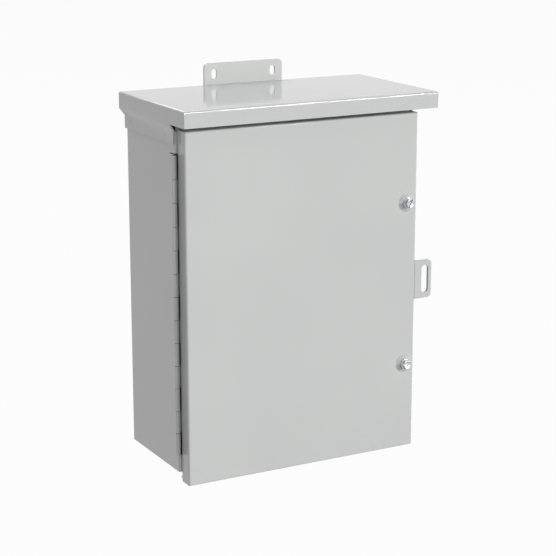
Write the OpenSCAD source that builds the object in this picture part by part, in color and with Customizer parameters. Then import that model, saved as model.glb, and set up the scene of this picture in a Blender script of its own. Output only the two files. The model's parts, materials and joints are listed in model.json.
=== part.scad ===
// Wall-mounted rainproof electrical enclosure with a hinged cover.
// Millimetres, +Z up, the door faces -Y, the wall is the plane Y = 0.
// The origin is the middle of the lower wall bracket's rear face, level with the body's bottom.

/* [Body] */
// Width over the body's sides
body_w = 300; // [270:1:360]
// Height of the body's sides
body_h = 386; // [340:1:460]
// Depth from the body's front plane to the outer face of its back
body_d = 127.5; // [100:0.5:200]
// Thickness of the folded sheet
sheet_t = 1.5; // [1.2:0.1:1.9]
// Inside radius of the sheet bends
bend_r = 1; // [0.8:0.1:2.2]
// Outer radius of the welded corners of the hood and the door
corner_r = 1.2; // [0.6:0.1:2]
// Width of the flanges beside the door opening
flange_w = 25; // [23:0.5:36]
// Height of the bottom panel's upturned edges
bottom_lip_h = 18; // [12:0.5:30]
// Height of the rear flanges that the wall brackets are welded to
rear_lap_h = 28; // [26:0.5:40]
// Depth of the header's folded edges
header_lip = 14; // [8:0.5:24]

/* [Drip hood] */
// How far the hood stands out past each side
hood_side_out = 8.5; // [6:0.5:14]
// How far the hood stands out ahead of the door
hood_lip = 23.25; // [12:0.25:40]
// Gap from the top of the body's sides up to the hood's sloped step
hood_seat = 0.5; // [0.5:0.1:2]
// Height of the hood's outer flange
hood_flange_h = 18.5; // [14:0.5:30]
// Height of the sloped step under the outer flange
hood_slope_h = 8.6; // [7:0.1:16]
// Height of the lower flange that lies on the body's sides
hood_lap_h = 14.6; // [10:0.1:20]
// How far the front end of the sloped step leans forward towards the outer flange
hood_lean = 5.4; // [3:0.1:9]

/* [Door] */
// How far the door's sides stand in from the body's sides
door_side_in = 3.15; // [2.6:0.05:4]
// How far the door hangs below the body's bottom
door_drop = 11.6; // [10:0.1:20]
// Gap between the hood's front flange and the door's top
door_top_gap = 7.3; // [6:0.1:14]
// Depth of the door's flanges
door_d = 18; // [17:0.25:26]
// Gap between the door's flanges and the body's front plane
door_gap = 1.1; // [0.8:0.1:2]
// Height of the step in the door's bottom flange
door_step_h = 4; // [3.6:0.1:6]
// Depth of the lip behind the step
door_step_d = 8; // [5:0.25:10]
// How far the lip's rear edge stands in at the hinge
door_step_in = 2; // [1:0.25:4]

/* [Hinge] */
// Gap from the bottom panel's upturned edges up to the hinge
hinge_low_gap = 2.7; // [2.5:0.1:20]
// Least distance from the hinge's upper end to the top of the sides
hinge_top_gap = 24; // [24:0.5:60]
// Length of one knuckle with its gap
knuckle_pitch = 26.15; // [20:0.05:32]
// Gap between two knuckles
knuckle_gap = 0.6; // [0.3:0.05:0.8]
// Diameter of the hinge pin
pin_d = 2.8; // [2:0.05:3]
// Thickness of the hinge leaves
leaf_t = 1.5; // [1.2:0.05:1.6]
// Radial clearance of the door's knuckles on the pin
pin_run = 0.05; // [0.02:0.01:0.09]
// Radial clearance of the body's knuckles on the pin
pin_seat = 0.02; // [0.01:0.01:0.05]
// How far the pin stands ahead of the body's front plane
pin_ahead = 0.9; // [0.6:0.05:1.1]
// Depth of the notch that takes the hinge
notch_d = 12.8; // [10:0.1:18]
// Gap above the hinge in its notch
notch_top_gap = 1.2; // [0.4:0.1:3]
// Gap below the hinge in its notch
notch_low_gap = 0.4; // [0.4:0.1:2]
// Length of the door leaf on the door's flange
door_leaf_l = 13; // [8:0.25:13]
// Gap between the body's leaf and the door's knuckles
leaf_gap = 0.4; // [0.3:0.05:0.6]

/* [Wall brackets] */
// Width of a wall bracket
bracket_w = 101.6; // [96:0.1:140]
// Thickness of a wall bracket
bracket_t = 2.7; // [2:0.1:4]
// How far a bracket reaches past the body
bracket_reach = 24.6; // [22:0.1:26]
// Corner radius of a bracket
bracket_r = 5.5; // [2:0.1:6]
// Distance between the two slots of a bracket
slot_spacing = 76.2; // [60:0.1:80]
// Width of a wall slot
slot_w = 7; // [5:0.1:9]
// Length of a wall slot
slot_l = 11.4; // [10:0.1:14]
// Distance from a bracket's end to the middle of its slots
slot_in = 12.6; // [11:0.1:14]

/* [Cover screws] */
// Distance from the screws to the door's right edge
screw_in = 13.4; // [12:0.1:15]
// Distance between the two screws, which lie evenly about the door's middle
screw_span = 192.6; // [120:0.2:220]
// Diameter of the screw's shank
screw_d = 4.8; // [4:0.1:5]
// Width of the hexagon head across its flats
head_af = 9.8; // [9:0.1:11]
// Height of the hexagon head
head_h = 3.8; // [3:0.1:5]
// Diameter of the round flange under the head
head_flange_d = 12.4; // [12:0.1:14]
// Thickness of the round flange under the head
head_flange_t = 1.2; // [0.8:0.1:1.6]
// Width of the screwdriver slot
drive_w = 1.5; // [1:0.1:2]
// Depth of the screwdriver slot
drive_d = 1.9; // [1:0.1:2.4]
// Slope of the upper screw's slot in degrees
drive_turn_upper = 66; // [-90:1:90]
// Slope of the lower screw's slot in degrees
drive_turn_lower = -8; // [-90:1:90]
// Diameter of the washer under the head
washer_d = 13.2; // [12.6:0.1:14]
// Thickness of the washer under the head
washer_t = 1; // [0.6:0.1:1.4]
// Radial clearance of the shank in the washer and the door
shank_gap = 0.3; // [0.2:0.05:0.5]
// Diameter of the raised boss at its foot
boss_d = 22; // [21:0.1:23]
// Diameter of the raised boss at its top
boss_top_d = 15; // [14.4:0.1:16]
// Height of the raised boss
boss_h = 3; // [2:0.1:4]
// How far a screw backs out before its retainer stops it
screw_travel = 8.5; // [8.5:0.1:9]
// Diameter of the retainer on the shank
retainer_d = 9; // [8:0.1:9.4]
// Thickness of the retainer
retainer_t = 1.2; // [0.8:0.1:1.4]
// Width of the weld nut across its flats
nut_af = 10; // [9:0.1:11]
// Height of the weld nut
nut_h = 5; // [4:0.1:5]
// Radial clearance between the shank and the weld nut's bore
nut_gap = 0.45; // [0.4:0.05:0.6]
// How far the screw's tip stands out of the nut
tip_out = 1; // [0.5:0.1:1]

/* [Padlock hasp] */
// Height of the hasp and the staple
hasp_h = 45.5; // [40:0.5:60]
// Thickness of the hasp and the staple
hasp_t = 1.5; // [1.2:0.1:1.6]
// How far the hasp's face lies behind the door's front
hasp_back = 2.4; // [2:0.1:3]
// How far the hasp's tab stands out past the body's side
hasp_tip = 21; // [20:0.5:30]
// Outer corner radius of the tab
hasp_r = 5.5; // [3:0.1:7]
// Width of the padlock slot
lock_w = 9.1; // [7:0.1:10]
// Length of the padlock slot
lock_l = 33.4; // [24:0.1:34]
// Distance from the tab's tip to the padlock slot
lock_in = 4.4; // [3.5:0.1:6]
// How far the hasp's middle lies above the door's middle
hasp_up = 1.7; // [0:0.1:30]
// Gap between the hasp and the staple
hasp_gap = 0.4; // [0.2:0.05:0.6]
// Length of the staple's foot on the body's side
staple_foot_l = 24; // [16:0.5:40]

/* [Mounting panel] */
// Gap from the panel's sides to the body's sides
panel_side_gap = 35.5; // [33:0.5:60]
// Gap from the panel's ends to the ends of the body's sides
panel_end_gap = 28; // [26:0.5:60]
// Thickness of the panel
panel_t = 1.9; // [1.5:0.1:3]
// Distance from the panel's edges to its studs
stud_in = 13; // [10:0.5:20]
// Diameter of a stud's collar
collar_d = 12; // [10:0.5:14]
// Height of a stud's collar
collar_h = 12; // [8:0.5:20]
// Diameter of a stud
stud_d = 6.3; // [5:0.1:8]
// Length of a stud ahead of its collar
stud_l = 14; // [12:0.5:20]
// Width of a stud's nut across its flats
stud_nut_af = 11; // [10:0.1:13]
// Height of a stud's nut
stud_nut_h = 5.5; // [4:0.1:6]
// Diameter of a stud's washer
stud_washer_d = 12.6; // [12:0.1:16]
// Thickness of a stud's washer
stud_washer_t = 1.2; // [0.8:0.1:1.6]
// Radial clearance between a stud and what is put on it
stud_gap = 0.2; // [0.1:0.05:0.4]

/* [Ground stud] */
// Diameter of the ground stud
ground_d = 5; // [4:0.1:6]
// Length of the ground stud
ground_l = 20; // [16:0.5:26]
// Distance of the ground stud from the body's side
ground_in = 20; // [18:0.5:24]
// Height of the ground stud above the body's bottom
ground_z = 40; // [34:0.5:60]
// Diameter of the ground stud's collar
ground_collar_d = 10; // [8:0.1:12]
// Width of the ground nut across its flats
ground_nut_af = 8; // [7.5:0.1:10]
// Height of the ground nut
ground_nut_h = 5; // [3:0.1:6]
// Distance from the back to the lug on the ground stud
lug_out = 4; // [2:0.5:6]
// Width of the ground lug and its clamp block
lug_w = 10; // [9:0.1:14]
// Thickness of the ground lug
lug_t = 3; // [2:0.1:4]
// Distance from the ground stud to the lug's lower end
lug_drop = 20; // [18:0.5:26]
// Height of the clamp block
clamp_h = 10; // [8:0.5:12]
// Depth of the clamp block
clamp_d = 10; // [8:0.5:12]
// Diameter of the clamp block's bore for the wire
wire_bore_d = 5; // [3:0.1:6]

/* [Hidden] */
$fn = 64;

// Finishes
paint = [0.79, 0.80, 0.79];
zinc = [0.72, 0.74, 0.76];
white_paint = [0.93, 0.93, 0.91];
brass = [0.78, 0.63, 0.33];

// A cut runs past the faces that it opens
cut = 1;
bend_out = bend_r + sheet_t;

// Planes from the wall to the front
hood_back_y = -bracket_t;
back_y = hood_back_y - sheet_t;
back_in_y = back_y - sheet_t;
front_y = back_y - body_d;
front_in_y = front_y + sheet_t;
door_back_y = front_y - door_gap;
door_front_y = door_back_y - door_d;
hood_front_y = door_front_y - hood_lip;

// Planes from the middle to the sides
side_x = body_w / 2;
side_in_x = side_x - sheet_t;
hood_x = side_x + hood_side_out;
door_x = side_x - door_side_in;

// Levels from the bottom to the top
hood_step_z = body_h + hood_seat;
hood_lap_z = hood_step_z - hood_lap_h;
hood_edge_z = hood_step_z + hood_slope_h;
hood_top = hood_edge_z + hood_flange_h;
back_top = hood_top - 2 * bend_out;
door_top = hood_edge_z - door_top_gap;
door_bottom = -door_drop;
door_mid = (door_top + door_bottom) / 2;

// Hinge
hinge_low = bottom_lip_h + hinge_low_gap;
knuckle_r = pin_d / 2 + leaf_t;
pin_x = -side_x + leaf_t - knuckle_r;
pin_y = front_y - pin_ahead;
knuckle_pairs = floor((body_h - hinge_low - hinge_top_gap - knuckle_pitch) / (2 * knuckle_pitch));
knuckle_n = 2 * knuckle_pairs + 1;
hinge_l = knuckle_n * knuckle_pitch;
notch_y = front_y + notch_d;
notch_h = notch_low_gap + hinge_l + notch_top_gap;
door_leaf_x = -door_x + sheet_t;
notch_x = door_leaf_x + leaf_t + 2 * leaf_gap;

// The header stays above the hinge
header_top = hood_top - sheet_t;
header_low = body_h - hinge_top_gap + leaf_gap;
header_half = (header_top - header_low) / 2;

// Cover screws
screw_x = door_x - screw_in;
screw_z = [door_mid + screw_span / 2, door_mid - screw_span / 2];
boss_y = door_front_y - boss_h;
head_y = boss_y - washer_t;
nut_y = front_in_y;
tip_y = nut_y + nut_h + tip_out;
retainer_y = boss_y + sheet_t + screw_travel + shank_gap;
shank_hole_d = screw_d + 2 * shank_gap;
nut_bore_d = screw_d + 2 * nut_gap;

// Padlock hasp and staple
hasp_y = door_front_y + hasp_back;
hasp_z = door_mid + hasp_up;
hasp_tip_x = side_x + hasp_tip;
staple_y = hasp_y + hasp_t + hasp_gap;
lock_x = hasp_tip_x - lock_in - lock_w / 2;

// Mounting panel and its studs
panel_w = body_w - 2 * panel_side_gap;
panel_y = back_in_y - collar_h;
stud_x = panel_w / 2 - stud_in;
stud_low = panel_end_gap + stud_in;
stud_high = body_h - panel_end_gap - stud_in;
stud_places = [for (x = [-stud_x, stud_x], z = [stud_low, stud_high]) [x, z]];

// Ground stud and its lug
ground_x = side_in_x - ground_in;
lug_y = back_in_y - lug_out;
lug_front_y = lug_y - lug_t;
lug_low = ground_z - lug_drop;

// Quarter of a bent sheet in the first quadrant, round the origin
module quarter_bend(t, r) {
  intersection() {
    difference() {
      circle(r + t);
      circle(r);
    }
    square(r + t);
  }
}

// Angle section with its outer corner at the origin and its legs along +X and +Y
module angle_section(leg_x, leg_y, t, r) {
  translate([r + t, 0]) square([leg_x - r - t, t]);
  translate([0, r + t]) square([t, leg_y - r - t]);
  translate([r + t, r + t]) rotate(180) quarter_bend(t, r);
}

// Rectangle with round corners from (x0, y0) to (x1, y1)
module round_rect(x0, y0, x1, y1, r) {
  translate([x0 + r, y0]) square([x1 - x0 - 2 * r, y1 - y0]);
  translate([x0, y0 + r]) square([x1 - x0, y1 - y0 - 2 * r]);
  for (x = [x0 + r, x1 - r], y = [y0 + r, y1 - r])
    translate([x, y]) circle(r);
}

// Rectangle from (x0, y0) to (x1, y1) whose two upper corners are round
module round_top(x0, y0, x1, y1, r) {
  translate([x0, y0]) square([x1 - x0, y1 - y0 - r]);
  translate([x0 + r, y0]) square([x1 - x0 - 2 * r, y1 - y0]);
  for (x = [x0 + r, x1 - r])
    translate([x, y1 - r]) circle(r);
}

// Slot with round ends, upright, centred on the origin
module upright_slot(w, l) {
  translate([-w / 2, -(l - w) / 2]) square([w, l - w]);
  for (s = [-1, 1])
    translate([0, s * (l - w) / 2]) circle(d = w);
}

// A flat outline given as (Y, Z) and extruded along X from x0 to x1
module along_x(x0, x1) {
  translate([x0, 0, 0]) rotate([90, 0, 90]) linear_extrude(x1 - x0) children();
}

// A flat outline given as (X, Z) and extruded along Y from y0 to y1
module along_y(y0, y1) {
  translate([0, y1, 0]) rotate([90, 0, 0]) linear_extrude(y1 - y0) children();
}

// A flat outline given as (X, Y) and extruded along Z from z0 to z1
module along_z(z0, z1) {
  translate([0, 0, z0]) linear_extrude(z1 - z0) children();
}

// A round bar along Y at (x, z)
module bar_y(x, z, y0, y1, d) {
  along_y(y0, y1) translate([x, z]) circle(d = d);
}

// A hexagon bar along Y at (x, z)
module hex_y(x, z, y0, y1, af) {
  along_y(y0, y1) translate([x, z]) circle(d = af / cos(30), $fn = 6);
}

// Block whose four upper edges are round and meet in mitres
module pan_block(x0, x1, y0, y1, z0, z1, r) {
  intersection() {
    along_y(y0, y1) round_top(x0, z0, x1, z1, r);
    along_x(x0, x1) round_top(y0, z0, y1, z1, r);
  }
}

// Shallow pan of folded sheet, open below
module pan(x, y0, y1, z0, z1) {
  difference() {
    pan_block(-x, x, y0, y1, z0, z1, bend_out);
    pan_block(-x + sheet_t, x - sheet_t, y0 + sheet_t, y1 - sheet_t, z0 - cut, z1 - sheet_t, bend_r);
  }
}

// What stands between z0 and z1, with its four upright corners round
module round_corners(x, y0, y1, z0, z1) {
  intersection() {
    children();
    along_z(z0 - cut, z1 + cut) round_rect(-x, y0, x, y1, corner_r);
  }
}

// Unit normal to the left of the way from a to b
function left_normal(a, b) = let (d = b - a) [-d[1], d[0]] / norm(d);

// Corner i of a folded strip's second face, a thickness t to the left of its first
function strip_corner(p, i, t) =
  let (last = len(p) - 1,
       n0 = left_normal(p[max(i - 1, 0)], p[max(i, 1)]),
       n1 = left_normal(p[min(i, last - 1)], p[min(i + 1, last)]))
  p[i] + t * (n0 + n1) / (1 + n0 * n1);

// Folded strip whose first face follows the points p
module strip(p, t) {
  polygon(concat(p, [for (i = [len(p) - 1:-1:0]) strip_corner(p, i, t)]));
}

// Body

module body_outline() {
  round_rect(-side_x, front_y, side_x, back_y, bend_out);
}

module body_hollow() {
  round_rect(-side_in_x, front_in_y, side_in_x, back_in_y, bend_r);
}

// Sides, back and front flanges, folded from one sheet
module body_wrapper() color(paint) {
  difference() {
    union() {
      along_z(0, body_h) difference() {
        body_outline();
        body_hollow();
        translate([-side_x + flange_w, front_y - cut])
          square([body_w - 2 * flange_w, sheet_t + 2 * cut]);
      }
      // The back reaches up inside the hood's rear flange
      translate([-side_x + bend_out, back_in_y, body_h - cut])
        cube([body_w - 2 * bend_out, sheet_t, back_top - body_h + cut]);
    }
    // Room for the bottom panel's rear fold
    translate([-side_x + 2 * bend_out - cut, back_in_y - cut, -cut])
      cube([body_w - 4 * bend_out + 2 * cut, sheet_t + 2 * cut, bend_out + cut]);
    // Notch for the hinge, round the front left corner
    translate([-side_x - cut, front_y - cut, hinge_low - notch_low_gap])
      cube([notch_x + side_x + cut, bend_out + cut, notch_h]);
    translate([-side_x - cut, front_y - cut, hinge_low - notch_low_gap])
      cube([bend_out + cut, notch_d + cut, notch_h]);
    // Holes for the cover screws
    for (z = screw_z)
      bar_y(screw_x, z, front_y - cut, front_in_y + cut, nut_bore_d);
  }
}

// Floor with upturned edges inside the body and a rear flange that laps the back
module bottom_panel() color(paint) {
  translate([-side_in_x + bend_out, front_in_y + bend_out, 0])
    cube([body_w - 2 * sheet_t - 2 * bend_out, body_d - 2 * sheet_t - bend_out, sheet_t]);
  for (s = [0, 1]) mirror([s, 0, 0])
    translate([-side_in_x, 0, 0])
      along_y(front_in_y + 2 * bend_out, back_in_y - bend_out)
        angle_section(2 * bend_out, bottom_lip_h, sheet_t, bend_r);
  along_x(-side_in_x + bend_r, side_in_x - bend_r)
    translate([front_in_y, 0]) angle_section(2 * bend_out, bottom_lip_h, sheet_t, bend_r);
  along_x(-side_x + 2 * bend_out, side_x - 2 * bend_out)
    translate([hood_back_y, 0]) mirror([1, 0])
      angle_section(3 * bend_out, rear_lap_h, sheet_t, bend_r);
}

// One folded sheet: top, outer flanges, sloped steps, lower flanges and rear flange
module drip_hood() color(paint) {
  step = [[hood_x, hood_edge_z + sheet_t], [hood_x, hood_edge_z],
          [side_x + sheet_t, hood_step_z], [side_x + sheet_t, hood_lap_z]];
  lean_y = front_y - hood_lean;
  round_corners(hood_x, hood_front_y, hood_back_y, hood_lap_z, hood_top) {
    union() {
      pan(hood_x, hood_front_y, hood_back_y, hood_edge_z, hood_top);
      difference() {
        for (s = [0, 1]) mirror([s, 0, 0])
          along_y(lean_y, hood_back_y) strip([for (i = [len(step) - 1:-1:0]) step[i]], sheet_t);
        // The steps and the lower flanges end above the door's hinge side
        along_x(-hood_x - cut, hood_x + cut)
          polygon([[lean_y, hood_edge_z], [front_y, hood_step_z], [front_y, hood_lap_z - cut],
                   [lean_y - cut, hood_lap_z - cut], [lean_y - cut, hood_edge_z]]);
      }
    }
  }
  translate([-side_x + bend_out, back_y, hood_top - rear_lap_h])
    cube([body_w - 2 * bend_out, sheet_t, rear_lap_h - bend_out]);
}

// Folded rail that frames the door opening under the hood
module top_header() color(paint) {
  along_x(-side_in_x + bend_r, side_in_x - bend_r) {
    translate([front_in_y, header_top]) mirror([0, 1])
      angle_section(header_lip, header_half, sheet_t, bend_r);
    translate([front_in_y, header_low])
      angle_section(header_lip, header_half, sheet_t, bend_r);
  }
}

// Wall brackets

// Slotted plate in the wall plane, half of it on the body and half past it
module wall_bracket(z, up) {
  along_y(-bracket_t, 0) difference() {
    round_rect(-bracket_w / 2, z - bracket_reach, bracket_w / 2, z + bracket_reach, bracket_r);
    for (s = [-1, 1])
      translate([s * slot_spacing / 2, z + up * (bracket_reach - slot_in)]) upright_slot(slot_w, slot_l);
  }
}

module upper_wall_bracket() color(paint) wall_bracket(hood_top, 1);

module lower_wall_bracket() color(paint) wall_bracket(0, -1);

// Hinge

function knuckle_z(i) = hinge_low + i * knuckle_pitch;

// The knuckles with even or odd numbers, counted from the bottom, without their bores
module knuckle_row(first) {
  for (i = [first:2:knuckle_n - 1])
    translate([pin_x, pin_y, knuckle_z(i) + knuckle_gap / 2])
      cylinder(r = knuckle_r, h = knuckle_pitch - knuckle_gap);
}

module pin_bore(clearance) {
  translate([pin_x, pin_y, hinge_low - cut])
    cylinder(d = pin_d + 2 * clearance, h = hinge_l + 2 * cut);
}

// Room that the body's leaf leaves round the door's knuckles
module door_knuckle_room() {
  reach = knuckle_r + leaf_gap;
  for (i = [1:2:knuckle_n - 1])
    translate([pin_x - reach, pin_y - reach, knuckle_z(i) - knuckle_gap / 2])
      cube([2 * reach, 2 * reach, knuckle_pitch + knuckle_gap]);
}

// Leaf let flush into the notch in the body's side
module hinge_body_leaf() color(paint) difference() {
  union() {
    knuckle_row(0);
    difference() {
      translate([-side_x, pin_y, hinge_low]) cube([leaf_t, notch_y - pin_y, hinge_l]);
      door_knuckle_room();
    }
  }
  pin_bore(pin_seat);
}

// Leaf on the inner face of the door's flange, with an arm to each of the door's knuckles
module hinge_door_leaf() color(paint) difference() {
  leaf_back = pin_y + knuckle_r;
  union() {
    knuckle_row(1);
    for (i = [1:2:knuckle_n - 1])
      along_z(knuckle_z(i) + knuckle_gap / 2, knuckle_z(i + 1) - knuckle_gap / 2)
        translate([pin_x, leaf_back - leaf_t]) square([door_leaf_x + leaf_t - pin_x, leaf_t]);
    along_z(hinge_low, hinge_low + hinge_l)
      translate([door_leaf_x, leaf_back - leaf_t - door_leaf_l]) square([leaf_t, door_leaf_l + leaf_t]);
  }
  pin_bore(pin_run);
}

module hinge_pin() color(zinc)
  translate([pin_x, pin_y, hinge_low]) cylinder(d = pin_d, h = hinge_l);

// Door

// Cone of a raised boss, smaller by thin all round and running back past its foot
module boss_cone(thin, back) {
  spread = back * (boss_d - boss_top_d) / boss_h;
  translate([0, 0, -back])
    cylinder(d1 = boss_d - 2 * thin + spread, d2 = boss_top_d - 2 * thin, h = boss_h + back);
}

// Stepped lip behind the bottom flange, with mitred ends that run into the side flanges
module door_lip() {
  lip_x = door_x - sheet_t / 2;
  lip_z = door_bottom + door_step_h - sheet_t;
  lip_back_y = door_back_y + door_step_d;
  intersection() {
    along_x(-lip_x, lip_x)
      strip([[door_back_y, door_bottom + sheet_t / 2], [door_back_y, lip_z], [lip_back_y, lip_z]], sheet_t);
    along_z(door_bottom, lip_z + sheet_t + cut)
      polygon([[-lip_x, door_back_y - sheet_t - cut], [lip_x, door_back_y - sheet_t - cut],
               [lip_x, door_back_y], [lip_x - door_step_d, lip_back_y],
               [-lip_x + door_step_in, lip_back_y], [-lip_x, door_back_y]]);
  }
}

// Pan with flanges on four sides, a stepped lip along its bottom and two raised bosses
module door() color(paint) {
  difference() {
    union() {
      rotate([90, 0, 0])
        round_corners(door_x, door_bottom, door_top, -door_back_y, -door_front_y)
          pan(door_x, door_bottom, door_top, -door_back_y, -door_front_y);
      for (z = screw_z)
        translate([screw_x, door_front_y, z]) rotate([90, 0, 0]) boss_cone(0, sheet_t / 2);
    }
    for (z = screw_z) {
      translate([screw_x, door_front_y + sheet_t, z]) rotate([90, 0, 0]) boss_cone(sheet_t, cut);
      bar_y(screw_x, z, boss_y - cut, door_back_y, shank_hole_d);
    }
  }
  door_lip();
}

// Padlock hasp

// Angle plate with its outer corner at (x, y), a foot back to foot_y and a slot for a padlock
module lock_plate(x, y, foot_y) {
  low = hasp_z - hasp_h / 2;
  high = hasp_z + hasp_h / 2;
  intersection() {
    along_z(low - cut, high + cut)
      translate([x, y]) angle_section(hasp_tip_x - x, foot_y - y, hasp_t, bend_r);
    along_y(y - cut, foot_y + cut) difference() {
      round_rect(x - hasp_r - cut, low, hasp_tip_x, high, hasp_r);
      translate([lock_x, hasp_z]) upright_slot(lock_w, lock_l);
    }
  }
}

// Front plate, with its foot on the door's right flange
module door_hasp() color(paint) lock_plate(door_x, hasp_y, door_back_y - hasp_gap);

// Rear plate, with its foot on the body's right side
module body_staple() color(paint) lock_plate(side_x, staple_y, front_y + staple_foot_l);

// Cover screws

module cover_screw(z, turn) color(zinc) difference() {
  union() {
    hex_y(screw_x, z, head_y - head_flange_t - head_h, head_y - head_flange_t, head_af);
    bar_y(screw_x, z, head_y - head_flange_t, head_y, head_flange_d);
    bar_y(screw_x, z, head_y, tip_y, screw_d);
  }
  translate([screw_x, head_y - head_flange_t - head_h, z]) rotate([0, -turn, 0])
    cube([head_flange_d, 2 * drive_d, drive_w], center = true);
}

module ring_y(z, y0, y1, outer, inner) difference() {
  bar_y(screw_x, z, y0, y1, outer);
  bar_y(screw_x, z, y0 - cut, y1 + cut, inner);
}

module screw_washer(z) color(zinc) ring_y(z, head_y, boss_y, washer_d, shank_hole_d);

module screw_retainer(z) color(zinc)
  ring_y(z, retainer_y, retainer_y + retainer_t, retainer_d, screw_d + 2 * pin_seat);

module weld_nut(z) color(zinc) difference() {
  hex_y(screw_x, z, nut_y, nut_y + nut_h, nut_af);
  bar_y(screw_x, z, nut_y - cut, nut_y + nut_h + cut, nut_bore_d);
}

module cover_screw_upper() cover_screw(screw_z[0], drive_turn_upper);
module cover_screw_lower() cover_screw(screw_z[1], drive_turn_lower);
module screw_washer_upper() screw_washer(screw_z[0]);
module screw_washer_lower() screw_washer(screw_z[1]);
module screw_retainer_upper() screw_retainer(screw_z[0]);
module screw_retainer_lower() screw_retainer(screw_z[1]);
module weld_nut_upper() weld_nut(screw_z[0]);
module weld_nut_lower() weld_nut(screw_z[1]);

// Inside

module mounting_panel() color(white_paint) along_y(panel_y - panel_t, panel_y) difference() {
  round_rect(-panel_w / 2, panel_end_gap, panel_w / 2, body_h - panel_end_gap, bend_out);
  for (p = stud_places)
    translate(p) circle(d = stud_d + 2 * stud_gap);
}

module panel_studs() color(zinc) for (p = stud_places) {
  bar_y(p[0], p[1], panel_y, back_in_y, collar_d);
  bar_y(p[0], p[1], panel_y - stud_l, panel_y, stud_d);
}

module panel_washers() color(zinc) for (p = stud_places)
  along_y(panel_y - panel_t - stud_washer_t, panel_y - panel_t) translate(p) difference() {
    circle(d = stud_washer_d);
    circle(d = stud_d + 2 * stud_gap);
  }

module panel_nuts() color(zinc) for (p = stud_places) {
  y1 = panel_y - panel_t - stud_washer_t;
  difference() {
    hex_y(p[0], p[1], y1 - stud_nut_h, y1, stud_nut_af);
    bar_y(p[0], p[1], y1 - stud_nut_h - cut, y1 + cut, stud_d + 2 * pin_seat);
  }
}

module ground_stud() color(brass) {
  bar_y(ground_x, ground_z, lug_y, back_in_y, ground_collar_d);
  bar_y(ground_x, ground_z, back_in_y - ground_l, lug_y, ground_d);
}

// Flat lug with a wire clamp block at its lower end
module ground_lug() color(brass) difference() {
  union() {
    along_y(lug_front_y, lug_y)
      round_rect(ground_x - lug_w / 2, lug_low, ground_x + lug_w / 2, ground_z + lug_w / 2, bend_r);
    along_y(lug_front_y - clamp_d, lug_front_y)
      translate([ground_x - lug_w / 2, lug_low + bend_r]) square([lug_w, clamp_h]);
  }
  bar_y(ground_x, ground_z, lug_front_y - cut, lug_y + cut, ground_d + 2 * stud_gap);
  // Bore for the wire, upright through the clamp block
  translate([ground_x, lug_front_y - clamp_d / 2, lug_low + bend_r - cut])
    cylinder(d = wire_bore_d, h = clamp_h + 2 * cut);
}

module ground_nut() color(brass) difference() {
  hex_y(ground_x, ground_z, lug_front_y - ground_nut_h, lug_front_y, ground_nut_af);
  bar_y(ground_x, ground_z, lug_front_y - ground_nut_h - cut, lug_front_y + cut, ground_d + 2 * pin_seat);
}

body_wrapper();
bottom_panel();
drip_hood();
top_header();
upper_wall_bracket();
lower_wall_bracket();
hinge_body_leaf();
hinge_pin();
body_staple();
weld_nut_upper();
weld_nut_lower();
mounting_panel();
panel_studs();
panel_washers();
panel_nuts();
ground_stud();
ground_lug();
ground_nut();
door();
hinge_door_leaf();
door_hasp();
screw_washer_upper();
screw_washer_lower();
cover_screw_upper();
cover_screw_lower();
screw_retainer_upper();
screw_retainer_lower();
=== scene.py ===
# Looks of a wall-mounted rainproof electrical enclosure with a hinged cover.
# Metres, +Z up, the door faces -Y. Sizes of fittings are in millimetres and become metres through MM.
import json
import math

import bmesh
import bpy
from mathutils import Matrix, Vector


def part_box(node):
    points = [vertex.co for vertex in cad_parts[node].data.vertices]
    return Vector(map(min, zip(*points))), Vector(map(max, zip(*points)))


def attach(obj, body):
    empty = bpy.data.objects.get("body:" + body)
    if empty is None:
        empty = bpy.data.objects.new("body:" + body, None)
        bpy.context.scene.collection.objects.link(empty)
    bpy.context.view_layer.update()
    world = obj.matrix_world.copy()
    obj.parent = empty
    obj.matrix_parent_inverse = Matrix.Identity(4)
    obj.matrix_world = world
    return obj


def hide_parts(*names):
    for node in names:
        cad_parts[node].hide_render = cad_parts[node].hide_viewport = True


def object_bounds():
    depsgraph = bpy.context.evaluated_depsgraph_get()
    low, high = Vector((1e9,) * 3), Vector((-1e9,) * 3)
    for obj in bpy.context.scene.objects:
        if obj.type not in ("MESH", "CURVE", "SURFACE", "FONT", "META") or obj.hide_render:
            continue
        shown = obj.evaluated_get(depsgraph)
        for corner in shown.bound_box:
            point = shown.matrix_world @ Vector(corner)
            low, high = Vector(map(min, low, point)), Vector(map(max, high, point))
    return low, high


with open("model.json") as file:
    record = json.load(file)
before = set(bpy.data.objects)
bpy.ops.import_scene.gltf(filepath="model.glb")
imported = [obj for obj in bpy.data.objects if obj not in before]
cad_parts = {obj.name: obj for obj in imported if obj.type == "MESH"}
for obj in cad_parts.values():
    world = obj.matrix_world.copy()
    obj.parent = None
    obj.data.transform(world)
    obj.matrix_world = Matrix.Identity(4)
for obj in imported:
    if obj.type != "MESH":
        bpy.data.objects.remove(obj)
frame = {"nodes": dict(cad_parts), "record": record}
cad_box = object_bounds()
nodes = frame["nodes"]
slot_of_node = {part["node"]: part["material_slot"] for part in frame["record"]["subparts"]}

MM = 0.001
FRONT = (0, -1, 0)
REAR = (0, 1, 0)
LEFT = (-1, 0, 0)
RIGHT = (1, 0, 0)


def add_object(name, data):
    """A new object of the scene that shows the given data."""
    thing = bpy.data.objects.new(name, data)
    bpy.context.scene.collection.objects.link(thing)
    return thing


# Camera

PHOTO_SIDE_PX = 556
FOCAL_PX = 1711.0
CAMERA_AZIMUTH = -28.455
CAMERA_ELEVATION = 14.311
CAMERA_DISTANCE = 1.9866
CAMERA_TARGET = Vector((0.0038, -0.080, 0.1946))


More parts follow.
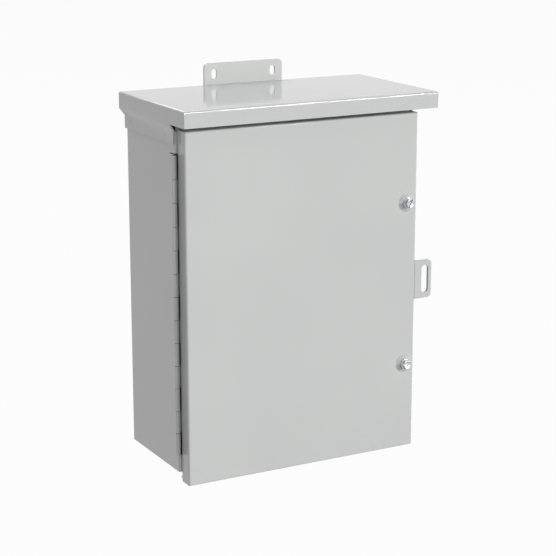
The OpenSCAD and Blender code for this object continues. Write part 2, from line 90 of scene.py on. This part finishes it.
def away_from_target(azimuth, elevation):
    """Unit vector from the target to an eye at that azimuth and elevation, in degrees."""
    turn = math.radians(azimuth)
    rise = math.radians(elevation)
    level = math.cos(rise)
    return Vector((math.sin(turn) * level, -math.cos(turn) * level, math.sin(rise)))


def place_camera():
    data = bpy.data.cameras.new("camera")
    data.lens = data.sensor_width * FOCAL_PX / PHOTO_SIDE_PX
    camera = add_object("camera", data)
    back = away_from_target(CAMERA_AZIMUTH, CAMERA_ELEVATION)
    camera.location = CAMERA_TARGET + CAMERA_DISTANCE * back
    camera.rotation_euler = (-back).to_track_quat("-Z", "Y").to_euler()
    bpy.context.scene.camera = camera


# Shader groups shared by the finishes

MOTTLE_DETAIL = 3.0
# Noise values that become 0 and 1 in the mottle's mask
MOTTLE_FROM = 0.3
MOTTLE_TO = 0.7
WAVE_DETAIL = 1.0
TOOTH_DETAIL = 2.0
MARK_DETAIL = 4.0
MARK_STRETCH = (1, 6, 1)


def shader_group(name, inputs, outputs):
    """An empty shader node group with value sockets, and its input and output nodes."""
    tree = bpy.data.node_groups.new(name, "ShaderNodeTree")
    for label in inputs:
        tree.interface.new_socket(label, in_out="INPUT", socket_type="NodeSocketFloat")
    for label in outputs:
        tree.interface.new_socket(label, in_out="OUTPUT", socket_type="NodeSocketFloat")
    return tree, tree.nodes.new("NodeGroupInput"), tree.nodes.new("NodeGroupOutput")


def object_noise(tree, scale_socket, detail, stretch=(1, 1, 1)):
    """Noise over the object's own coordinates, in metres."""
    place = tree.nodes.new("ShaderNodeTexCoord")
    mapping = tree.nodes.new("ShaderNodeMapping")
    mapping.inputs["Scale"].default_value = stretch
    noise = tree.nodes.new("ShaderNodeTexNoise")
    noise.inputs["Detail"].default_value = detail
    tree.links.new(place.outputs["Object"], mapping.inputs["Vector"])
    tree.links.new(mapping.outputs["Vector"], noise.inputs["Vector"])
    tree.links.new(scale_socket, noise.inputs["Scale"])
    return noise.outputs["Fac"]


def mottle_group():
    """Slow drift of tone over a surface, from 0 to 1."""
    tree, given, result = shader_group("mottle", ["Scale"], ["Mask"])
    drift = object_noise(tree, given.outputs["Scale"], MOTTLE_DETAIL)
    spread = tree.nodes.new("ShaderNodeMapRange")
    spread.inputs["From Min"].default_value = MOTTLE_FROM
    spread.inputs["From Max"].default_value = MOTTLE_TO
    tree.links.new(drift, spread.inputs["Value"])
    tree.links.new(spread.outputs["Result"], result.inputs["Mask"])
    return tree


def orange_peel_group():
    """The low waves and the fine tooth of a baked powder coat."""
    tree, given, result = shader_group("orange_peel", ["Scale", "Tooth Scale", "Tooth"], ["Height"])
    waves = object_noise(tree, given.outputs["Scale"], WAVE_DETAIL)
    tooth = object_noise(tree, given.outputs["Tooth Scale"], TOOTH_DETAIL)
    add = tree.nodes.new("ShaderNodeMath")
    add.operation = "MULTIPLY_ADD"
    tree.links.new(tooth, add.inputs[0])
    tree.links.new(given.outputs["Tooth"], add.inputs[1])
    tree.links.new(waves, add.inputs[2])
    tree.links.new(add.outputs["Value"], result.inputs["Height"])
    return tree


def tool_marks_group():
    """Fine turned or rolled lines on bare metal."""
    tree, given, result = shader_group("tool_marks", ["Scale"], ["Mask"])
    lines = object_noise(tree, given.outputs["Scale"], MARK_DETAIL, MARK_STRETCH)
    tree.links.new(lines, result.inputs["Mask"])
    return tree


MOTTLE = mottle_group()
ORANGE_PEEL = orange_peel_group()
TOOL_MARKS = tool_marks_group()


# Finishes, with noise scales in waves to the metre and depths in metres

PAINT_TONE_SCALE = 7.0
PAINT_GLOSS_SCALE = 60.0
PAINT_ROUGHNESS = (0.065, 0.09)
PAINT_PEEL = {"Scale": 320.0, "Tooth Scale": 2400.0, "Tooth": 0.2}
PEEL_DEPTH = 0.004 * MM
PEEL_STRENGTH = 0.3
METAL_TINT_SCALE = 180.0
METAL_MARK_SCALE = 900.0
MARK_DEPTH = 0.02 * MM
MARK_STRENGTH = 0.4


def place_group(tree, group, values):
    """A shader group in a material, with the material's own values."""
    node = tree.nodes.new("ShaderNodeGroup")
    node.node_tree = group
    for label, value in values.items():
        node.inputs[label].default_value = value
    return node


def ramp_value(tree, mask, low, high):
    """A value that runs from low to high with a mask."""
    spread = tree.nodes.new("ShaderNodeMapRange")
    spread.inputs["To Min"].default_value = low
    spread.inputs["To Max"].default_value = high
    tree.links.new(mask, spread.inputs["Value"])
    return spread.outputs["Result"]


def blend_colours(tree, mask, first, second):
    """A colour that runs from first to second with a mask."""
    mix = tree.nodes.new("ShaderNodeMix")
    mix.data_type = "RGBA"
    mix.inputs["A"].default_value = (*first, 1)
    mix.inputs["B"].default_value = (*second, 1)
    tree.links.new(mask, mix.inputs["Factor"])
    return mix.outputs["Result"]


def add_bump(tree, shader, height, depth, strength):
    bump = tree.nodes.new("ShaderNodeBump")
    bump.inputs["Strength"].default_value = strength
    bump.inputs["Distance"].default_value = depth
    tree.links.new(height, bump.inputs["Height"])
    tree.links.new(bump.outputs["Normal"], shader.inputs["Normal"])


def new_material(name):
    """A material, its node tree and its shader."""
    material = bpy.data.materials.new(name)
    material.use_nodes = True
    return material, material.node_tree, material.node_tree.nodes["Principled BSDF"]


def powder_coat(name, deep, pale):
    """Semi-gloss baked paint, a little uneven in tone and gloss."""
    material, tree, shader = new_material(name)
    tone = place_group(tree, MOTTLE, {"Scale": PAINT_TONE_SCALE})
    gloss = place_group(tree, MOTTLE, {"Scale": PAINT_GLOSS_SCALE})
    peel = place_group(tree, ORANGE_PEEL, PAINT_PEEL)
    colour = blend_colours(tree, tone.outputs["Mask"], deep, pale)
    roughness = ramp_value(tree, gloss.outputs["Mask"], *PAINT_ROUGHNESS)
    tree.links.new(colour, shader.inputs["Base Color"])
    tree.links.new(roughness, shader.inputs["Roughness"])
    add_bump(tree, shader, peel.outputs["Height"], PEEL_DEPTH, PEEL_STRENGTH)
    return material


def bare_metal(name, deep, pale, smooth, rough):
    """Plated or plain metal with fine lines and a slow drift of tint."""
    material, tree, shader = new_material(name)
    tint = place_group(tree, MOTTLE, {"Scale": METAL_TINT_SCALE})
    marks = place_group(tree, TOOL_MARKS, {"Scale": METAL_MARK_SCALE})
    colour = blend_colours(tree, tint.outputs["Mask"], deep, pale)
    roughness = ramp_value(tree, marks.outputs["Mask"], smooth, rough)
    shader.inputs["Metallic"].default_value = 1.0
    tree.links.new(colour, shader.inputs["Base Color"])
    tree.links.new(roughness, shader.inputs["Roughness"])
    add_bump(tree, shader, marks.outputs["Mask"], MARK_DEPTH, MARK_STRENGTH)
    return material


FINISHES = {
    "grey_paint": powder_coat("grey_paint", (0.545, 0.555, 0.548), (0.570, 0.580, 0.572)),
    "white_paint": powder_coat("white_paint", (0.80, 0.80, 0.77), (0.84, 0.84, 0.81)),
    "zinc_plate": bare_metal("zinc_plate", (0.37, 0.39, 0.42), (0.54, 0.55, 0.55), 0.36, 0.50),
    "brass": bare_metal("brass", (0.72, 0.52, 0.22), (0.80, 0.62, 0.30), 0.20, 0.38),
}
# Near-black metal for the hinge pin, far darker than its zinc: painted shade, so the gaps between the
# knuckles read dark.
PIN_PAINTED_SHADE = bare_metal("hinge_pin_painted_shade", (0.09, 0.09, 0.09), (0.14, 0.14, 0.135), 0.40, 0.60)


# Mesh tools, in millimetres up to the matrix that places a shape

THREAD_COUNT = 24
HEXAGON_COUNT = 72
CORNER_SLOPE = math.tan(math.radians(30))
# Round faces of nuts and heads as shares of the width over flats
NUT_FACE = 0.94
HEAD_FACE = 0.96
# Widening at the ends of a nut's bore, as a share of the pitch
BORE_MOUTH = 0.5
# Dish of a head, as shares of the face's radius and of the dish's depth
DISH_PROFILE = ((0.86, 0.0), (0.74, 0.7), (0.4, 1.0))
SHARP_ANGLE = math.radians(32)
BEVEL_ANGLE = math.radians(40)
BEVEL_SEGMENTS = 2
JOIN_WITHIN = 0.001 * MM


def stand(place, axis):
    """Matrix from millimetres on a local +Z axis to metres at a place, with local +X level."""
    z = Vector(axis).normalized()
    x = Vector((0, 0, 1)).cross(z).normalized()
    turn = Matrix((x, z.cross(x), z)).transposed().to_4x4()
    return Matrix.Translation(place) @ turn @ Matrix.Scale(MM, 4)


def ring(radius, height, count):
    """Points round the local +Z axis; radius and height are numbers or functions of the angle."""
    points = []
    for k in range(count):
        angle = 2 * math.pi * k / count
        r = radius(angle) if callable(radius) else radius
        h = height(angle) if callable(height) else height
        points.append(Vector((r * math.cos(angle), r * math.sin(angle), h)))
    return points


def skin(bm, loops, matrix, close=False, cap_first=False, cap_last=False):
    """Faces between rings with as many points each, with end caps or joined in a circle."""
    rows = [[bm.verts.new(matrix @ p) for p in loop] for loop in loops]
    pairs = list(zip(rows, rows[1:]))
    if close:
        pairs.append((rows[-1], rows[0]))
    for a, b in pairs:
        for k in range(len(a)):
            n = (k + 1) % len(a)
            bm.faces.new((a[k], a[n], b[n], b[k]))
    if cap_first:
        bm.faces.new(list(reversed(rows[0])))
    if cap_last:
        bm.faces.new(rows[-1])


def turned(bm, profile, matrix, count=48, **caps):
    """A turned shape from (radius, height) points."""
    skin(bm, [ring(r, h, count) for r, h in profile], matrix, **caps)


def thread_rings(major_r, depth, pitch, low, high, taper=0.0, count=THREAD_COUNT, steps=6):
    """Rings of a right-handed thread from low to high, drawn in over the last taper at its high end."""
    loops = []
    total = max(2, int(round((high - low) / pitch * steps)))
    for i in range(total + 1):
        h = low + (high - low) * i / total
        shrink = depth * max(0.0, (h - high + taper) / taper) if taper else 0.0

        def radius(angle, h=h, shrink=shrink):
            phase = (h / pitch - angle / (2 * math.pi)) % 1.0
            return major_r - shrink - depth * abs(2 * phase - 1)

        loops.append(ring(radius, h, count))
    return loops


def hexagon(flats):
    """Radius of a hexagon, corners at angle 0, as a function of the angle."""
    sixth = math.pi / 3
    return lambda angle: flats / 2 / math.cos(angle % sixth - sixth / 2)


def hex_nut(bm, flats, low, high, bore_r, pitch, matrix, count=HEXAGON_COUNT):
    """Nut with coned corners on both faces and a threaded bore."""
    corner = hexagon(flats)
    flat_r = NUT_FACE * flats / 2
    mouth = BORE_MOUTH * pitch

    def drop(angle):
        return (corner(angle) - flat_r) * CORNER_SLOPE

    outside = [
        ring(bore_r + mouth, low, count),
        ring(flat_r, low, count),
        ring(corner, lambda angle: low + drop(angle), count),
        ring(corner, lambda angle: high - drop(angle), count),
        ring(flat_r, high, count),
        ring(bore_r + mouth, high, count),
    ]
    inside = thread_rings(bore_r + mouth, mouth, pitch, low + mouth, high - mouth, count=count)
    skin(bm, outside + list(reversed(inside)), matrix, close=True)


def dished_hexagon(bm, flats, low, high, dish, matrix, count=HEXAGON_COUNT):
    """Closed hexagon head with coned corners and a shallow dish in its top."""
    corner = hexagon(flats)
    flat_r = HEAD_FACE * flats / 2
    loops = [
        ring(corner, low, count),
        ring(corner, lambda angle: high - (corner(angle) - flat_r) * CORNER_SLOPE, count),
        ring(flat_r, high, count),
    ]
    for share, deep in DISH_PROFILE:
        loops.append(ring(share * flat_r, high - deep * dish, count))
    skin(bm, loops, matrix, cap_first=True, cap_last=True)


def bar_across(bm, long, wide, low, high, turn, matrix):
    """Closed bar through the local axis, turned about it."""
    along = Vector((math.cos(turn), math.sin(turn), 0)) * long / 2
    beside = Vector((-math.sin(turn), math.cos(turn), 0)) * wide / 2
    feet = [along + beside, beside - along, -along - beside, along - beside]
    loops = [[p + Vector((0, 0, h)) for p in feet] for h in (low, high)]
    skin(bm, loops, matrix, cap_first=True, cap_last=True)


def mesh_from(name, bm):
    """A mesh with the faces of a bmesh, which is freed."""
    mesh = bpy.data.meshes.new(name)
    bm.to_mesh(mesh)
    bm.free()
    return mesh


def carved(solid, cutter):
    """What is left of one closed shape after another is cut out of it."""
    blanks = []
    for bm in (solid, cutter):
        bmesh.ops.recalc_face_normals(bm, faces=bm.faces[:])
        blanks.append(add_object("blank", mesh_from("blank", bm)))
    cut = blanks[0].modifiers.new("cut", "BOOLEAN")
    cut.object = blanks[1]
    cut.operation = "DIFFERENCE"
    cut.solver = "EXACT"
    left = bmesh.new()
    left.from_mesh(blanks[0].evaluated_get(bpy.context.evaluated_depsgraph_get()).to_mesh())
    for blank in blanks:
        mesh = blank.data
        bpy.data.objects.remove(blank)
        bpy.data.meshes.remove(mesh)
    return left


def soften_edges(piece, width):
    """Small round edges that catch the light."""
    weld = piece.modifiers.new("join", "WELD")
    weld.merge_threshold = JOIN_WITHIN
    bevel = piece.modifiers.new("round_edges", "BEVEL")
    bevel.width = width * MM
    bevel.segments = BEVEL_SEGMENTS
    bevel.limit_method = "ANGLE"
    bevel.angle_limit = BEVEL_ANGLE
    normals = piece.modifiers.new("even_normals", "WEIGHTED_NORMAL")
    normals.keep_sharp = False


def finish_piece(name, bm, body, slot, replaced=(), edge=0.0):
    """A mesh object in its finish, on its body, with smooth shading between its sharp edges."""
    bmesh.ops.recalc_face_normals(bm, faces=bm.faces[:])
    mesh = mesh_from(name, bm)
    mesh.shade_smooth()
    mesh.set_sharp_from_angle(angle=SHARP_ANGLE)
    mesh.materials.append(FINISHES[slot])
    piece = add_object(name, mesh)
    if edge:
        soften_edges(piece, edge)
    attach(piece, body)
    if replaced:
        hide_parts(*replaced)


# Solids of the frame in their finishes

SHEET_EDGE = 0.3
FITTING_EDGE = 0.15
FINE_NODES = ("hinge_pin", "screw_washer_upper", "screw_washer_lower", "screw_retainer_upper",
              "screw_retainer_lower", "panel_washers")


def dress_solids():
    for name, piece in nodes.items():
        # The hinge pin takes the near-black metal in place of its zinc, painted shade for the gaps
        # between its knuckles.
        finish = PIN_PAINTED_SHADE if name == "hinge_pin" else FINISHES[slot_of_node[name]]
        piece.data.materials.clear()
        piece.data.materials.append(finish)
        soften_edges(piece, FITTING_EDGE if name in FINE_NODES else SHEET_EDGE)


# Cover screws

SHANK_R = 2.4
SHANK_PITCH = 1.0583
SHANK_THREAD = 0.55
SHANK_TAPER = 1.5
PLAIN_SHANK = 20.0
CORE_R = SHANK_R - SHANK_THREAD
HEAD_FLATS = 9.8
HEAD_HIGH = 3.8
HEAD_DISH = 0.6
HEAD_SINK = 0.1
COLLAR_R = 6.2
COLLAR_HIGH = 1.2
DRIVE_WIDE = 1.5
DRIVE_DEEP = 1.9
DRIVE_CUT_LONG = 3 * HEAD_FLATS
DRIVE_TURN = {"upper": math.radians(66), "lower": math.radians(-8)}
# Collar from the shank outwards and up into the head, as (radius, height)
COLLAR_PROFILE = (
    (SHANK_R, 0),
    (COLLAR_R - 0.25, 0),
    (COLLAR_R, 0.25),
    (COLLAR_R, 0.6),
    (COLLAR_R - 0.3, 0.85),
    (0.9 * HEAD_FLATS / 2, COLLAR_HIGH + 0.3),
)
# Plain part of the shank from the collar to the thread, as (radius, height)
SHANK_PROFILE = ((SHANK_R, 0), (CORE_R, 0.01), (CORE_R, PLAIN_SHANK))


def cover_screw(side):
    """Slotted hexagon screw with a coned collar under its head and a threaded shank."""
    node = "cover_screw_" + side
    low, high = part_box(node)
    top = COLLAR_HIGH + HEAD_HIGH
    seat = Vector(((low.x + high.x) / 2, low.y + top * MM, (low.z + high.z) / 2))
    ahead = stand(seat, FRONT)
    behind = stand(seat, REAR)
    tip = (high.y - seat.y) / MM
    head = bmesh.new()
    dished_hexagon(head, HEAD_FLATS, COLLAR_HIGH - HEAD_SINK, top, HEAD_DISH, ahead)
    slot = bmesh.new()
    bar_across(slot, DRIVE_CUT_LONG, DRIVE_WIDE, top - DRIVE_DEEP, top + DRIVE_DEEP,
               DRIVE_TURN[side], ahead)
    bm = carved(head, slot)
    turned(bm, COLLAR_PROFILE, ahead)
    turned(bm, SHANK_PROFILE, behind, count=THREAD_COUNT)
    thread = thread_rings(SHANK_R, SHANK_THREAD, SHANK_PITCH, PLAIN_SHANK, tip, taper=SHANK_TAPER)
    skin(bm, thread, behind, cap_last=True)
    finish_piece(node + "_detailed", bm, "screw_" + side, "zinc_plate", [node], edge=FITTING_EDGE)


# Nuts and studs inside

WELD_NUT_FLATS = 10.0
WELD_NUT_BORE_R = 2.5
NUT_PLAY = 0.03
STUD_COLLAR_R = 6.0
STUD_CHAMFER = 0.5
STUD_R = 3.15
STUD_PITCH = 1.27
STUD_THREAD = 0.6
STUD_TAPER = 1.2
STUD_LONG = 14.0
STUD_NUT_FLATS = 11.0
STUD_NUT_CORNERS = STUD_NUT_FLATS / math.cos(math.radians(30))
GROUND_COLLAR = 4.0
GROUND_CHAMFER = 0.4
GROUND_R = 2.5
GROUND_PITCH = 0.9
GROUND_THREAD = 0.45
GROUND_TAPER = 1.0
GROUND_NUT_FLATS = 8.0


def weld_nut(side):
    """Threaded nut behind the body's right flange."""
    node = "weld_nut_" + side
    low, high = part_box(node)
    at = stand(Vector(((low.x + high.x) / 2, low.y, (low.z + high.z) / 2)), REAR)
    bm = bmesh.new()
    hex_nut(bm, WELD_NUT_FLATS, 0, (high.y - low.y) / MM, WELD_NUT_BORE_R, SHANK_PITCH, at)
    finish_piece(node + "_threaded", bm, "cabinet", "zinc_plate", [node])


def collar_stud(bm, collar_r, collar_high, chamfer, stud_r, thread, pitch, tip, taper, matrix):
    """Stud with a round chamfered collar at its foot and a thread from there to its tip."""
    profile = [
        (collar_r, 0),
        (collar_r, collar_high - chamfer),
        (collar_r - chamfer, collar_high),
        (stud_r - thread, collar_high),
    ]
    turned(bm, profile, matrix, cap_first=True)
    skin(bm, thread_rings(stud_r, thread, pitch, collar_high, tip, taper=taper), matrix, cap_last=True)


def centres_of_four(node, wide, tall):
    """Middles of four like pieces that stand at the corners of their node's box, as (x, z)."""
    low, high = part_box(node)
    half_x = wide * MM / 2
    half_z = tall * MM / 2
    return [(x, z) for x in (low.x + half_x, high.x - half_x) for z in (low.z + half_z, high.z - half_z)]


def panel_studs():
    """Four collar studs with threaded ends."""
    low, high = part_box("panel_studs")
    collar = (high.y - low.y) / MM - STUD_LONG
    tip = collar + STUD_LONG
    bm = bmesh.new()
    for x, z in centres_of_four("panel_studs", 2 * STUD_COLLAR_R, 2 * STUD_COLLAR_R):
        at = stand(Vector((x, high.y, z)), FRONT)
        collar_stud(bm, STUD_COLLAR_R, collar, STUD_CHAMFER, STUD_R, STUD_THREAD, STUD_PITCH, tip,
                    STUD_TAPER, at)
    finish_piece("panel_studs_threaded", bm, "cabinet", "zinc_plate", ["panel_studs"])


def panel_nuts():
    """Four nuts that hold the mounting panel on its studs."""
    low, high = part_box("panel_nuts")
    bm = bmesh.new()
    for x, z in centres_of_four("panel_nuts", STUD_NUT_CORNERS, STUD_NUT_FLATS):
        at = stand(Vector((x, high.y, z)), FRONT)
        hex_nut(bm, STUD_NUT_FLATS, 0, (high.y - low.y) / MM, STUD_R + NUT_PLAY, STUD_PITCH, at)
    finish_piece("panel_nuts_threaded", bm, "cabinet", "zinc_plate", ["panel_nuts"])


def ground_fittings():
    """Threaded earth stud and its nut."""
    low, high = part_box("ground_stud")
    x = (low.x + high.x) / 2
    z = (low.z + high.z) / 2
    collar_r = (high.x - low.x) / MM / 2
    tip = (high.y - low.y) / MM
    bm = bmesh.new()
    collar_stud(bm, collar_r, GROUND_COLLAR, GROUND_CHAMFER, GROUND_R, GROUND_THREAD, GROUND_PITCH, tip,
                GROUND_TAPER, stand(Vector((x, high.y, z)), FRONT))
    finish_piece("ground_stud_threaded", bm, "cabinet", "brass", ["ground_stud"])
    nut_low, nut_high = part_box("ground_nut")
    bm = bmesh.new()
    hex_nut(bm, GROUND_NUT_FLATS, 0, (nut_high.y - nut_low.y) / MM, GROUND_R + NUT_PLAY, GROUND_PITCH,
            stand(Vector((x, nut_high.y, z)), FRONT))
    finish_piece("ground_nut_threaded", bm, "cabinet", "brass", ["ground_nut"])


# Spot welds, painted over

WELD_R = 2.9
WELD_RIM = 0.24
# Print of a welding tip from its rim to its middle, as (radius, height)
WELD_PROFILE = (
    (WELD_R, -0.02),
    (WELD_R - 0.35, 0.7 * WELD_RIM),
    (WELD_R - 0.8, WELD_RIM),
    (WELD_R - 1.3, 0.5 * WELD_RIM),
    (0.5, 0.3 * WELD_RIM),
)
HOOD_LAP_THICK = 1.5 * MM
HOOD_WELD_RISE = 7.3 * MM
HOOD_WELDS_Y = (-20 * MM, -111 * MM)
FLOOR_WELD_Y = -22 * MM
FLOOR_WELD_Z = 9 * MM


def weld_mark(bm, place, axis):
    """Shallow round print of a welding tip."""
    turned(bm, WELD_PROFILE, stand(place, axis), count=32, cap_last=True)


def body_welds():
    """Welds on the hood's lower flanges and at the floor's upturned edges, on both sides."""
    hood_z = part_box("drip_hood")[0].z + HOOD_WELD_RISE
    body_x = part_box("body_wrapper")[1].x
    hood_x = body_x + HOOD_LAP_THICK
    bm = bmesh.new()
    for side, axis in ((-1, LEFT), (1, RIGHT)):
        for y in HOOD_WELDS_Y:
            weld_mark(bm, Vector((side * hood_x, y, hood_z)), axis)
        weld_mark(bm, Vector((side * body_x, FLOOR_WELD_Y, FLOOR_WELD_Z)), axis)
    finish_piece("spot_welds", bm, "cabinet", "grey_paint")


# Studio

FLOOR_DROP = 0.15
FLOOR_HALF = 30.0
WHITE = (1, 1, 1, 1)
AMBIENT = 0.06
FLOOR_TONE = (0.46, 0.46, 0.46, 1)
FLOOR_SHADOW_SHARE = 0.04
# Name, azimuth, elevation, distance, width, height and power of each soft box
LAMPS = (
    ("key", 28.5, 15.2, 12.0, 3.2, 1.4, 1200),
    ("side_fill", -62, -3, 1.6, 2.4, 1.2, 7.4),
    ("left_light", -45, 42, 3.0, 0.8, 0.8, 6),
    ("back_light", 184, 50, 4.0, 3.4, 3.4, 125),
)


def larger_of(tree, first, second):
    node = tree.nodes.new("ShaderNodeMath")
    node.operation = "MAXIMUM"
    tree.links.new(first, node.inputs[0])
    tree.links.new(second, node.inputs[1])
    return node.outputs["Value"]


def seen_directly(tree):
    """1 for rays from the camera, from gloss and through glass, and 0 for the light itself."""
    rays = tree.nodes.new("ShaderNodeLightPath")
    eye_or_gloss = larger_of(tree, rays.outputs["Is Camera Ray"], rays.outputs["Is Glossy Ray"])
    return larger_of(tree, eye_or_gloss, rays.outputs["Is Transmission Ray"])


def white_world():
    """White surroundings to the eye, which give only a little light of their own."""
    world = bpy.data.worlds.new("studio")
    bpy.context.scene.world = world
    world.use_nodes = True
    tree = world.node_tree
    background = tree.nodes["Background"]
    background.inputs["Color"].default_value = WHITE
    strength = ramp_value(tree, seen_directly(tree), AMBIENT, 1.0)
    tree.links.new(strength, background.inputs["Strength"])


def pale_floor():
    """Floor that is almost white to the eye and keeps a faint shadow of the object."""
    level = cad_box[0].z - FLOOR_DROP
    bm = bmesh.new()
    corners = []
    for x, y in ((-1, -1), (1, -1), (1, 1), (-1, 1)):
        corners.append(bm.verts.new((x * FLOOR_HALF, y * FLOOR_HALF, level)))
    bm.faces.new(corners)
    mesh = mesh_from("floor", bm)
    material, tree, shader = new_material("floor")
    tree.nodes.remove(shader)
    matt = tree.nodes.new("ShaderNodeBsdfDiffuse")
    matt.inputs["Color"].default_value = FLOOR_TONE
    white = tree.nodes.new("ShaderNodeEmission")
    white.inputs["Color"].default_value = WHITE
    mix = tree.nodes.new("ShaderNodeMixShader")
    white_share = ramp_value(tree, seen_directly(tree), 0.0, 1.0 - FLOOR_SHADOW_SHARE)
    tree.links.new(white_share, mix.inputs["Fac"])
    tree.links.new(matt.outputs["BSDF"], mix.inputs[1])
    tree.links.new(white.outputs["Emission"], mix.inputs[2])
    tree.links.new(mix.outputs["Shader"], tree.nodes["Material Output"].inputs["Surface"])
    mesh.materials.append(material)
    add_object("floor", mesh)


def soft_box(name, place, target, width, height, power):
    """Area lamp aimed at a point."""
    data = bpy.data.lights.new(name, "AREA")
    data.shape = "RECTANGLE"
    data.size = width
    data.size_y = height
    data.energy = power
    lamp = add_object(name, data)
    lamp.location = place
    lamp.rotation_euler = (target - place).to_track_quat("-Z", "Y").to_euler()


def studio_light():
    middle = (cad_box[0] + cad_box[1]) / 2
    for name, azimuth, elevation, distance, width, height, power in LAMPS:
        place = middle + distance * away_from_target(azimuth, elevation)
        soft_box(name, place, middle, width, height, power)


# Build

place_camera()
dress_solids()
for side in ("upper", "lower"):
    cover_screw(side)
    weld_nut(side)
panel_studs()
panel_nuts()
ground_fittings()
body_welds()
white_world()
pale_floor()
studio_light()
bpy.context.scene.view_settings.view_transform = "Standard"
